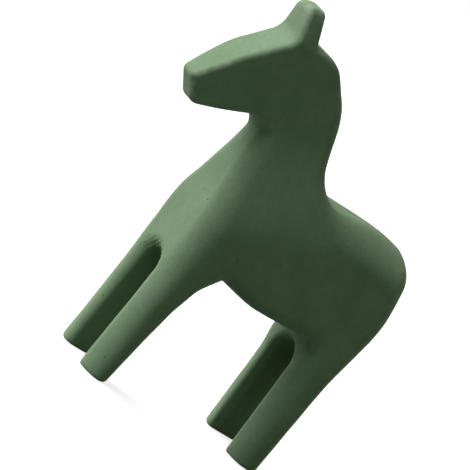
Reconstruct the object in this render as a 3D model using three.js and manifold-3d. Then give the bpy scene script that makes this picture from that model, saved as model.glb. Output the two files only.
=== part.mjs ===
// A standing horse ornament, carved from a block glued up from three boards and painted.
//
// The muzzle points to -X, the horse's left side to -Y and the ears to +Z. The soles stand on Z = 0
// and the origin lies under the middle of the horse. Lengths are in millimetres.
//
// The block is three boards with their faces together and four dowels across the seams. The outline is
// sawn through all three boards, then the head and neck are thinned, the gaps between the legs are
// opened and every edge is rounded. So the carved form is described once, as a field that is negative
// in the wood, and each board is the slice of it that lies between its own two faces.

import * as THREE from "three";
import { mergeVertices } from "three/addons/utils/BufferGeometryUtils.js";
import Module from "manifold-3d";

// The boards and dowels of the block
const boardThickness = 18;
const dowelDiameter = 8;
const dowelLength = 38;
const dowelClearance = 0.2;
const dowelEndRoom = 1;
const dowelInset = 22;
const dowelSides = 20;

// Heights of the legs and trunk, each from the part that it stands on
const kneeHeight = 50;
const thighRise = 11;
const forearmRise = 15;
const bellyHeight = 73.5;
const stifleRise = 2.6;
const elbowRise = 3.5;
const chestRise = 27.9;
const rumpRise = 18.8;
const trunkDepth = 66.8;
const backCrown = 2;

// Heights of the neck and head, measured up or down from the back and the poll
const pollRise = 61.2;
const crestDrop = 0.2;
const neckBendDrop = 20.2;
const throatDrop = 40.6;
const muzzleDrop = 61;
const noseDrop = 48;
const foreheadDrop = 23.9;
const browDrop = 4.1;
const earRise = 16.3;
const earSlope = 2.4;

// Lengths along the horse, from the line that the front of the fore legs stands on
const foreFootDepth = 17.9;
const foreKneeDepth = 22.4;
const forearmDepth = 25.6;
const hindFootDepth = 21.1;
const hindKneeDepth = 24.3;
const trunkLength = 131;
const heelSetIn = 3.4;
const chestSwell = 1.2;
const throatSetBack = 1;
const elbowSetBack = 32.7;
const bellySetBack = 56.7;
const noseReach = 51.8;
const chinReach = 41.3;
const foreheadReach = 36.5;
const browReach = 18.4;
const earLean = 4;
const earRootDepth = 12;
const earTipDepth = 10.2;
const crestSetBack = 8.9;
const neckBendSetBack = 34.9;
const withersSetBack = 50.2;
const crownSetBack = 102.2;

// Radii of the outline's corners
const shankRound = 60;
const chestRound = 70;
const throatRound = 8.9;
const chinRound = 5.8;
const noseRound = 3;
const foreheadRound = 70;
const browRound = 9;
const earFrontRound = 4;
const earRearRound = 3.6;
const earRootRound = 1.5;
const crestRound = 24;
const neckBendRound = 50;
const withersRound = 24.2;
const crownRound = 90;
const croupRound = 18;
const rumpRound = 61.9;
const thighRound = 60;
const stifleRound = 9;
const bellyRound = 40;
const elbowRound = 1;
const forearmRound = 20.3;
const foreKneeRound = 40;

// Half thicknesses, measured from the middle of the horse
const trunkHalf = 26.4;
const foreFootHalf = 24.6;
const hindFootHalf = 25.6;
const neckHalf = 12.5;
const muzzleHalf = 6.8;
const earTipHalf = 6.9;
const cheekFullness = 3;
const earFullness = 1.2;

// The flare from the neck to the trunk, which runs along the leaning neck
const flareHeight = 124;
const flareLength = 60;
const flareLean = 0.4;

// Gaps between the left and right legs, with round tops
const foreGapHalf = 9.3;
const foreGapHeight = 70.5;
const foreGapEdge = 6.2;
const hindGapHalf = 12;
const hindGapHeight = 67.7;
const hindGapEdge = 1.3;

// Rounding of the outline's edges: how far it runs in from the outline, and how far down the side
const headEdge = 2.8;
const neckEdge = 8;
const jawFade = 9;
const trunkEdge = 13;
const trunkEdgeDrop = 11.3;
const rumpEdge = 23.8;
const rumpEdgeDrop = 27.5;
const legEdge = 9.5;
const legEdgeDrop = 14.5;
const bellyEdge = 8.3;
const soleEdge = 2;
const soleTrim = 0.4;

// Spacing of the points that the carved surface is sampled at, and how strongly a point of its mesh is
// kept near the middle of its cell
const bodyStep = 4.7;
const headStep = 2.7;
const centrePull = 0.08;

const wasm = await Module();
wasm.setup();

const clamp = THREE.MathUtils.clamp;
const mix = THREE.MathUtils.lerp;
const ease = THREE.MathUtils.smoothstep;

// The same heights above the floor
const thighHeight = kneeHeight + thighRise;
const forearmHeight = kneeHeight + forearmRise;
const elbowHeight = bellyHeight + elbowRise;
const chestHeight = bellyHeight + chestRise;
const rumpHeight = bellyHeight + rumpRise;
const backHeight = bellyHeight + trunkDepth;
const pollHeight = backHeight + pollRise;
const neckBendHeight = pollHeight - neckBendDrop;
const throatHeight = pollHeight - throatDrop;
const muzzleHeight = pollHeight - muzzleDrop;
const noseHeight = pollHeight - noseDrop;
const foreheadHeight = pollHeight - foreheadDrop;
const browHeight = pollHeight - browDrop;
const earHeight = pollHeight + earRise;

// Outline of the horse seen from its left side

// Corners in order, each with the radius that rounds it. x runs back from the line of the fore legs.
function sideCorners() {
  const heel = trunkLength - heelSetIn;
  const hindToe = heel - hindFootDepth;
  const hindKnee = heel - hindKneeDepth;
  const earTip = -browReach - earLean;
  const below = -kneeHeight / 2;
  const stifle = mix(hindToe, hindKnee, bellyHeight / kneeHeight);
  return [
    { x: 0, z: below, radius: 0 },
    { x: 0, z: kneeHeight, radius: shankRound },
    { x: -chestSwell, z: chestHeight, radius: chestRound },
    { x: throatSetBack, z: throatHeight, radius: throatRound },
    { x: -chinReach, z: muzzleHeight, radius: chinRound },
    { x: -noseReach, z: noseHeight, radius: noseRound },
    { x: -foreheadReach, z: foreheadHeight, radius: foreheadRound },
    { x: -browReach, z: browHeight, radius: browRound },
    { x: earTip, z: earHeight - earSlope, radius: earFrontRound },
    { x: earTip + earTipDepth, z: earHeight, radius: earRearRound },
    { x: -browReach + earRootDepth, z: pollHeight, radius: earRootRound },
    { x: crestSetBack, z: pollHeight - crestDrop, radius: crestRound },
    { x: neckBendSetBack, z: neckBendHeight, radius: neckBendRound },
    { x: withersSetBack, z: backHeight - backCrown, radius: withersRound },
    { x: crownSetBack, z: backHeight + backCrown, radius: crownRound },
    { x: trunkLength, z: backHeight - backCrown, radius: croupRound },
    { x: trunkLength, z: rumpHeight, radius: rumpRound },
    { x: heel, z: thighHeight, radius: thighRound },
    { x: heel, z: below, radius: 0 },
    { x: mix(hindToe, hindKnee, below / kneeHeight), z: below, radius: 0 },
    { x: stifle, z: bellyHeight + stifleRise, radius: stifleRound },
    { x: bellySetBack, z: bellyHeight, radius: bellyRound },
    { x: elbowSetBack, z: elbowHeight, radius: elbowRound },
    { x: forearmDepth, z: forearmHeight, radius: forearmRound },
    { x: foreKneeDepth, z: kneeHeight, radius: foreKneeRound },
    { x: mix(foreFootDepth, foreKneeDepth, below / kneeHeight), z: below, radius: 0 },
  ];
}

// Points along the outline, with an arc at each corner. An arc takes at most a given share of the
// way to the next corner, and its points are a given angle apart.
const cornerShare = 0.48;
const arcStep = 0.14;

function roundedOutline(corners) {
  const points = [];
  corners.forEach((corner, i) => {
    const here = new THREE.Vector2(corner.x, corner.z);
    const last = corners[(i + corners.length - 1) % corners.length];
    const next = corners[(i + 1) % corners.length];
    const back = new THREE.Vector2(last.x, last.z).sub(here);
    const ahead = new THREE.Vector2(next.x, next.z).sub(here);
    const room = cornerShare * Math.min(back.length(), ahead.length());
    back.normalize();
    ahead.normalize();
    const half = Math.acos(clamp(back.dot(ahead), -1, 1)) / 2;
    const reach = Math.min(corner.radius / Math.tan(half), room);
    if (reach < 1e-6) {
      points.push(here);
      return;
    }
    const radius = reach * Math.tan(half);
    const middle = back.clone().add(ahead).normalize();
    const centre = here.clone().addScaledVector(middle, radius / Math.sin(half));
    const turn = Math.PI - 2 * half;
    const steps = Math.max(2, Math.ceil(turn / arcStep));
    const from = here.clone().addScaledVector(back, reach).sub(centre);
    const sign = Math.sign(from.cross(here.clone().addScaledVector(ahead, reach).sub(centre)));
    for (let k = 0; k <= steps; k++) {
      const spoke = from.clone().rotateAround(new THREE.Vector2(), (sign * turn * k) / steps);
      points.push(spoke.add(centre));
    }
  });
  return points;
}

const outline = roundedOutline(sideCorners());
const reachX = { low: Infinity, high: -Infinity };
for (const point of outline) {
  reachX.low = Math.min(reachX.low, point.x);
  reachX.high = Math.max(reachX.high, point.x);
}
const frontLine = -(reachX.low + reachX.high) / 2;

// Distance in from the outline, negative outside it.
function depthInOutline(x, z) {
  const px = x - frontLine;
  let nearest = Infinity;
  let inside = false;
  for (let i = 0, j = outline.length - 1; i < outline.length; j = i++) {
    const a = outline[j];
    const b = outline[i];
    const ex = b.x - a.x;
    const ez = b.y - a.y;
    const wx = px - a.x;
    const wz = z - a.y;
    const along = clamp((wx * ex + wz * ez) / (ex * ex + ez * ez || 1), 0, 1);
    nearest = Math.min(nearest, Math.hypot(wx - along * ex, wz - along * ez));
    if (a.y > z !== b.y > z && px < a.x + (ex * wz) / ez) inside = !inside;
  }
  return inside ? nearest : -nearest;
}

// How thick the carved form is, and how soft its edges are

// From 0 at the fore legs to 1 at the hind legs.
function towardsTail(x) {
  return ease(x - frontLine, foreFootDepth, trunkLength - heelSetIn - hindFootDepth);
}

// Half thickness of the legs and trunk, which is least at the feet.
function legHalf(x, z) {
  const foot = mix(foreFootHalf, hindFootHalf, towardsTail(x));
  return mix(foot, trunkHalf, ease(z, kneeHeight / 2, chestHeight));
}

// Half thickness of the head and neck, which thins to the muzzle and to the tips of the ears.
function headHalf(x, z) {
  const dx = browReach - noseReach;
  const dz = browHeight - noseHeight;
  const px = x - frontLine + noseReach;
  const fromNose = clamp((px * -dx + (z - noseHeight) * dz) / (dx * dx + dz * dz), 0, 1);
  const cheek = mix(neckHalf, muzzleHalf, (1 - fromNose) ** cheekFullness);
  const upEar = clamp((z - browHeight) / (earHeight - browHeight), 0, 1);
  return mix(cheek, earTipHalf, upEar ** earFullness);
}

// 1 on the trunk, 0 on the neck.
function onTrunk(x, z) {
  const lean = Math.hypot(1, flareLean);
  const below = (flareHeight + flareLean * (x - frontLine) - z) / lean;
  return ease(below, -flareLength / 2, flareLength / 2);
}

function halfThickness(x, z) {
  return mix(headHalf(x, z), legHalf(x, z), onTrunk(x, z));
}

// Distance to the line that halves the corner of the throat, positive on the neck's side.
function belowJaw(x, z) {
  const throat = new THREE.Vector2(throatSetBack, throatHeight);
  const jaw = new THREE.Vector2(-chinReach, muzzleHeight).sub(throat).normalize();
  const front = new THREE.Vector2(-chestSwell, chestHeight).sub(throat).normalize();
  const across = front.sub(jaw).normalize();
  return across.dot(new THREE.Vector2(x - frontLine, z).sub(throat));
}

// The head has crisp edges, the neck softer ones, and the trunk and legs are rounded most.
function edgeRounding(x, z) {
  const nape = ease(x - frontLine, 0, 2 * neckEdge) * (1 - ease(z, pollHeight - 2 * neckEdge, pollHeight));
  const neck = 1 - (1 - ease(belowJaw(x, z), 0, jawFade)) * (1 - nape);
  const head = mix(headEdge, neckEdge, neck);
  const leg = 1 - ease(z, kneeHeight, chestHeight);
  const heel = trunkLength - heelSetIn;
  const betweenLegs = ease(x - frontLine, foreKneeDepth, bellySetBack);
  const beforeHaunch = 1 - ease(x - frontLine, heel - hindKneeDepth, heel);
  const aboveKnee = ease(z, kneeHeight, bellyHeight - bellyEdge);
  const belly = betweenLegs * beforeHaunch * aboveKnee * (1 - ease(z, bellyHeight + bellyEdge, backHeight));
  const behindWithers = ease(x - frontLine, withersSetBack, trunkLength - rumpEdge);
  const rump = behindWithers * ease(z, chestHeight, backHeight);
  const trunk = onTrunk(x, z);
  const blend = (upperEdge, rearEdge, lowerEdge) => {
    const trunkAndLegs = mix(mix(upperEdge, rearEdge, rump), lowerEdge, leg);
    return mix(head, mix(trunkAndLegs, bellyEdge, belly), trunk);
  };
  return {
    inward: blend(trunkEdge, rumpEdge, legEdge),
    drop: blend(trunkEdgeDrop, rumpEdgeDrop, legEdgeDrop),
  };
}

// Two fields met at an edge that is rounded to a radius.
function roundedMeet(a, b, radius) {
  const across = Math.hypot(Math.max(a + radius, 0), Math.max(b + radius, 0));
  return across + Math.min(Math.max(a, b), -radius);
}

// Distance outside the gap between the left and right legs, negative in the gap.
function legGap(x, y, z) {
  const tail = towardsTail(x) > 0.5;
  const half = tail ? hindGapHalf : foreGapHalf;
  const spring = (tail ? hindGapHeight : foreGapHeight) - half;
  return Math.hypot(y, Math.max(z - spring, 0)) - half;
}

function carvedForm(x, y, z) {
  const depth = depthInOutline(x, z);
  const round = edgeRounding(x, z);
  const inward = Math.max(round.inward - depth, 0) / round.inward;
  const side = Math.abs(y) - halfThickness(x, z);
  const drop = Math.max(side + round.drop, 0) / round.drop;
  const body = (Math.hypot(inward, drop) - 1) * round.drop;
  const tail = towardsTail(x) > 0.5;
  const opened = roundedMeet(body, -legGap(x, y, z), tail ? hindGapEdge : foreGapEdge);
  return roundedMeet(opened, -z - soleTrim, soleEdge);
}

// Surface of a field

// Places from low to high with a step that changes at a given place.
function places(low, high, changeAt, stepBelow, stepAbove) {
  const list = [low];
  while (list[list.length - 1] < high) {
    const last = list[list.length - 1];
    list.push(last + (last < changeAt ? stepBelow : stepAbove));
  }
  return list;
}

// A closed mesh round the space where the field is negative: one point in each cell that the surface
// crosses, moved onto the surface, and one square for each grid edge that the surface crosses.
function surfaceOf(field, xs, ys, zs) {
  const sizeY = ys.length;
  const sizeZ = zs.length;
  const at = (i, j, k) => (i * sizeY + j) * sizeZ + k;
  const values = new Float64Array(xs.length * sizeY * sizeZ);
  for (let i = 0; i < xs.length; i++) {
    for (let j = 0; j < sizeY; j++) {
      for (let k = 0; k < zs.length; k++) values[at(i, j, k)] = field(xs[i], ys[j], zs[k]);
    }
  }

  const corners = [0, 1].flatMap((a) => [0, 1].flatMap((b) => [0, 1].map((c) => [a, b, c])));
  const edges = corners.flatMap((from) =>
    [0, 1, 2].filter((axis) => from[axis] === 0).map((axis) => [from, axis])
  );
  const pointOf = new Map();
  const positions = [];
  const valueAt = (cell, corner) =>
    values[at(cell[0] + corner[0], cell[1] + corner[1], cell[2] + corner[2])];
  const placeOf = (cell, corner) =>
    new THREE.Vector3(xs[cell[0] + corner[0]], ys[cell[1] + corner[1]], zs[cell[2] + corner[2]]);

  for (let i = 0; i + 1 < xs.length; i++) {
    for (let j = 0; j + 1 < sizeY; j++) {
      for (let k = 0; k + 1 < sizeZ; k++) {
        const cell = [i, j, k];
        const crossings = [];
        for (const [from, axis] of edges) {
          const to = from.slice();
          to[axis] = 1;
          const a = valueAt(cell, from);
          const b = valueAt(cell, to);
          if (a < 0 === b < 0) continue;
          crossings.push(placeOf(cell, from).lerp(placeOf(cell, to), a / (a - b)));
        }
        if (crossings.length === 0) continue;
        const ridge = ridgePoint(field, crossings);
        const point = settle(field, ridge, placeOf(cell, [0, 0, 0]), placeOf(cell, [1, 1, 1]));
        pointOf.set(at(i, j, k), positions.length / 3);
        positions.push(point.x, point.y, point.z);
      }
    }
  }

  const index = [];
  const counts = [xs.length, sizeY, sizeZ];
  for (let i = 1; i + 1 < xs.length; i++) {
    for (let j = 1; j + 1 < sizeY; j++) {
      for (let k = 1; k + 1 < sizeZ; k++) {
        for (let axis = 0; axis < 3; axis++) {
          const here = [i, j, k];
          const next = here.slice();
          next[axis]++;
          if (next[axis] >= counts[axis]) continue;
          const a = values[at(...here)];
          const b = values[at(...next)];
          if (a < 0 === b < 0) continue;
          const u = (axis + 1) % 3;
          const v = (axis + 2) % 3;
          const ring = [[0, 0], [-1, 0], [-1, -1], [0, -1]].map(([du, dv]) => {
            const cell = here.slice();
            cell[u] += du;
            cell[v] += dv;
            return pointOf.get(at(...cell));
          });
          if (a >= 0) ring.reverse();
          const [p, q, r, s] = ring;
          if (offSurface(field, positions, q, s) < offSurface(field, positions, p, r)) {
            ring.push(ring.shift());
          }
          index.push(ring[0], ring[1], ring[2], ring[0], ring[2], ring[3]);
        }
      }
    }
  }
  const geometry = new THREE.BufferGeometry();
  geometry.setAttribute("position", new THREE.Float32BufferAttribute(positions, 3));
  geometry.setIndex(index);
  return geometry;
}

function slopeOf(field, point) {
  const reach = 0.05;
  return new THREE.Vector3(
    field(point.x + reach, point.y, point.z) - field(point.x - reach, point.y, point.z),
    field(point.x, point.y + reach, point.z) - field(point.x, point.y - reach, point.z),
    field(point.x, point.y, point.z + reach) - field(point.x, point.y, point.z - reach)
  ).divideScalar(2 * reach);
}

// How far the middle between two points of a mesh is from the surface.
function offSurface(field, positions, one, other) {
  const middle = [0, 1, 2].map((axis) => (positions[3 * one + axis] + positions[3 * other + axis]) / 2);
  return Math.abs(field(...middle));
}

// The point where the surface's tangent planes at the crossings come nearest to meeting, so that the
// points of an edge lie in a line on the edge.
function ridgePoint(field, crossings) {
  const centre = new THREE.Vector3();
  crossings.forEach((crossing) => centre.addScaledVector(crossing, 1 / crossings.length));
  const pull = centrePull * crossings.length;
  const sums = [pull, 0, 0, 0, pull, 0, 0, 0, pull];
  const aim = new THREE.Vector3();
  for (const crossing of crossings) {
    const normal = slopeOf(field, crossing).normalize();
    const n = normal.toArray();
    sums.forEach((sum, i) => (sums[i] = sum + n[Math.floor(i / 3)] * n[i % 3]));
    aim.addScaledVector(normal, normal.dot(crossing.clone().sub(centre)));
  }
  return centre.add(aim.applyMatrix3(new THREE.Matrix3().set(...sums).invert()));
}

// Moves a point onto the surface of a field, and keeps it in its own cell.
function settle(field, point, low, high) {
  point.clamp(low, high);
  for (let round = 0; round < 3; round++) {
    const value = field(point.x, point.y, point.z);
    const slope = slopeOf(field, point);
    const steepness = slope.lengthSq();
    if (steepness < 1e-4) break;
    point.addScaledVector(slope, -value / steepness).clamp(low, high);
  }
  return point;
}

// Solids that can be joined and cut

function solidOf(geometry) {
  const bare = new THREE.BufferGeometry();
  bare.setAttribute("position", geometry.getAttribute("position"));
  bare.setIndex(geometry.getIndex());
  const merged = mergeVertices(bare, 1e-4);
  return new wasm.Manifold(
    new wasm.Mesh({
      numProp: 3,
      vertProperties: merged.getAttribute("position").array,
      triVerts: new Uint32Array(merged.getIndex().array),
    })
  );
}

function meshOf(name, solid, material) {
  const mesh = solid.getMesh();
  const geometry = new THREE.BufferGeometry();
  geometry.setAttribute("position", new THREE.BufferAttribute(mesh.vertProperties, 3));
  geometry.setIndex(new THREE.BufferAttribute(mesh.triVerts, 1));
  geometry.computeVertexNormals();
  const made = new THREE.Mesh(geometry, material);
  made.name = name;
  return made;
}

// A block that reaches past the horse on all sides but the two heights in Y and the floor.
function slab(lowY, highY) {
  const reach = 4 * Math.max(earHeight, trunkLength);
  const box = new THREE.BoxGeometry(reach, highY - lowY, reach);
  return solidOf(box.translate(0, (lowY + highY) / 2, reach / 2));
}

// A round bar across the horse, at a place in its side view.
function crossBar(place, diameter, halfLength) {
  const bar = new THREE.CylinderGeometry(diameter / 2, diameter / 2, 2 * halfLength, dowelSides);
  return solidOf(bar.translate(frontLine + place.x, 0, 0).translate(0, 0, place.z));
}

// The widest that the carved form can be, from the middle of the horse
const widestHalf = Math.max(trunkHalf, foreFootHalf, hindFootHalf, neckHalf, muzzleHalf, earTipHalf);
const outerReach = 2 * widestHalf;
const seam = boardThickness / 2;

// Places of the dowels in the side view: two behind the chest and two in the haunch.
const dowelPlaces = {
  shoulder_dowel: { x: dowelInset, z: elbowHeight + dowelInset / 2 },
  withers_dowel: { x: withersSetBack - dowelInset / 2, z: backHeight - dowelInset },
  loin_dowel: { x: trunkLength - 1.5 * dowelInset, z: backHeight - dowelInset },
  haunch_dowel: { x: trunkLength - dowelInset, z: bellyHeight + 0.75 * dowelInset },
};

function carvedBlock() {
  const firstX = reachX.low + frontLine - 2 * headStep;
  const lastX = reachX.high + frontLine + 2 * bodyStep;
  const xs = places(firstX, lastX, frontLine, headStep, bodyStep);
  const half = places(0, widestHalf + 2 * bodyStep, neckHalf, headStep, bodyStep);
  const ys = [...half.slice(1).map((y) => -y).reverse(), ...half];
  const zs = places(-2 * bodyStep, earHeight + 2 * headStep, muzzleHeight - headStep, bodyStep, headStep);
  return solidOf(surfaceOf(carvedForm, xs, ys, zs));
}

// The block with a bore for each dowel, blind in the two outer boards.
function boredBlock() {
  const bores = Object.values(dowelPlaces).map((place) =>
    crossBar(place, dowelDiameter + 2 * dowelClearance, dowelLength / 2 + dowelEndRoom)
  );
  return bores.reduce((block, bore) => block.subtract(bore), carvedBlock());
}

const form = boredBlock();
const paint = new THREE.MeshStandardMaterial({ color: 0x4f7350, roughness: 0.85, metalness: 0 });
const horse = new THREE.Group();
horse.add(meshOf("core_board", form.intersect(slab(-seam, seam)), paint.clone()));
horse.add(meshOf("left_board", form.intersect(slab(-outerReach, -seam)), paint.clone()));
horse.add(meshOf("right_board", form.intersect(slab(seam, outerReach)), paint.clone()));

const beech = new THREE.MeshStandardMaterial({ color: 0xd9b98c, roughness: 0.7, metalness: 0 });
for (const [name, place] of Object.entries(dowelPlaces)) {
  horse.add(meshOf(name, crossBar(place, dowelDiameter, dowelLength / 2), beech.clone()));
}

export default horse;
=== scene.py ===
"""Dresses the carved horse ornament for its photograph.

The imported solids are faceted, so the three boards are modelled again here from the same carved form on
a fine grid, cut at the same seams and painted. The form is written in millimetres in the model's frame:
muzzle to -X, left side to -Y, soles on Z = 0. Meshes are made in metres.
"""

import logging
import math
from collections.abc import Iterator
from dataclasses import dataclass, field
from enum import Enum
from functools import reduce
from itertools import product

import bmesh
import bpy
import numpy as np
from mathutils import Matrix, Vector


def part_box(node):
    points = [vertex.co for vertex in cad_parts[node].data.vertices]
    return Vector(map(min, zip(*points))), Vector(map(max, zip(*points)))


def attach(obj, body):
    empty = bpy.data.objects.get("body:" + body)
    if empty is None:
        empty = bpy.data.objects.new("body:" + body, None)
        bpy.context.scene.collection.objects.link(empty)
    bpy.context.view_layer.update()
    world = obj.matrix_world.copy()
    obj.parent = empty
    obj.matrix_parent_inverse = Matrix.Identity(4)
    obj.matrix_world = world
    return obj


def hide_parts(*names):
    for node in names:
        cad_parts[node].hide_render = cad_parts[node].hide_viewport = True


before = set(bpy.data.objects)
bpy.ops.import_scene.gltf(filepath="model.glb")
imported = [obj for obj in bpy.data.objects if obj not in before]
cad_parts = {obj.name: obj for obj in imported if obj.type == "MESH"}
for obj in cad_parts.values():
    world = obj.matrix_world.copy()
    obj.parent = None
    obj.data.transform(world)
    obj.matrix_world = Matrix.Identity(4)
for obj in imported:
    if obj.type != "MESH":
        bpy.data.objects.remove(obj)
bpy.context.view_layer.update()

logging.basicConfig(level=logging.INFO, format="%(message)s")
log = logging.getLogger("horse")

Amount = float | np.ndarray
Span = tuple[float, float]
Triple = tuple[float, float, float]
Slices = tuple[slice, ...]
View = dict[str, np.ndarray]
Socket = bpy.types.NodeSocket

# One millimetre in metres
MM = 0.001

# Keeps a division off zero
TINY = 1e-12

# How far the seams lie from the middle of the horse, and a place well outside it, in millimetres
SEAM = 9.0
OUTSIDE = 60.0


class Plank(Enum):
    """The three boards of the block, each with its node and the places of its two faces in Y."""

    CORE = ("core_board", -SEAM, SEAM)
    LEFT = ("left_board", -OUTSIDE, -SEAM)
    RIGHT = ("right_board", SEAM, OUTSIDE)

    def __init__(self, node: str, low: float, high: float) -> None:
        """Keeps the parts of the value under plain names.

        Args:
            node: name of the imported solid.
            low: place of the lower face in millimetres.
            high: place of the upper face.
        """
        self.node = node
        self.low = low
        self.high = high


class Dowel(Enum):
    """The four dowels that tie the boards together."""

    SHOULDER = "shoulder_dowel"
    WITHERS = "withers_dowel"
    LOIN = "loin_dowel"
    HAUNCH = "haunch_dowel"


class WearAndShade(Enum):
    """What each point of the boards' skin tells the paint: how rubbed it is, and how much shade is painted
    on it.
    """

    RUBBED = "rubbed"
    PAINTED_GAP_SHADE = "painted_gap_shade"


def mix(low: Amount, high: Amount, share: Amount) -> Amount:
    """Blends two values.

    Args:
        low: value at share 0.
        high: value at share 1.
        share: number or array.

    Returns:
        The blend, of the shape of the inputs.
    """
    return low + (high - low) * share


def ease(value: np.ndarray, start: float, end: float) -> np.ndarray:
    """Rises smoothly from 0 to 1.

    Args:
        value: places to read.
        start: where it is 0.
        end: where it is 1.

    Returns:
        Shares between 0 and 1.
    """
    share = np.clip((value - start) / (end - start), 0.0, 1.0)
    return share * share * (3.0 - 2.0 * share)


def rounded_meet(a: np.ndarray, b: np.ndarray, radius: Amount) -> np.ndarray:
    """Meets two fields at an edge that is rounded.

    Args:
        a: one field, negative in the wood.
        b: the other field.
        radius: radius of the edge.

    Returns:
        The met field.
    """
    across = np.hypot(np.maximum(a + radius, 0.0), np.maximum(b + radius, 0.0))
    return across + np.minimum(np.maximum(a, b), -radius)


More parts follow.
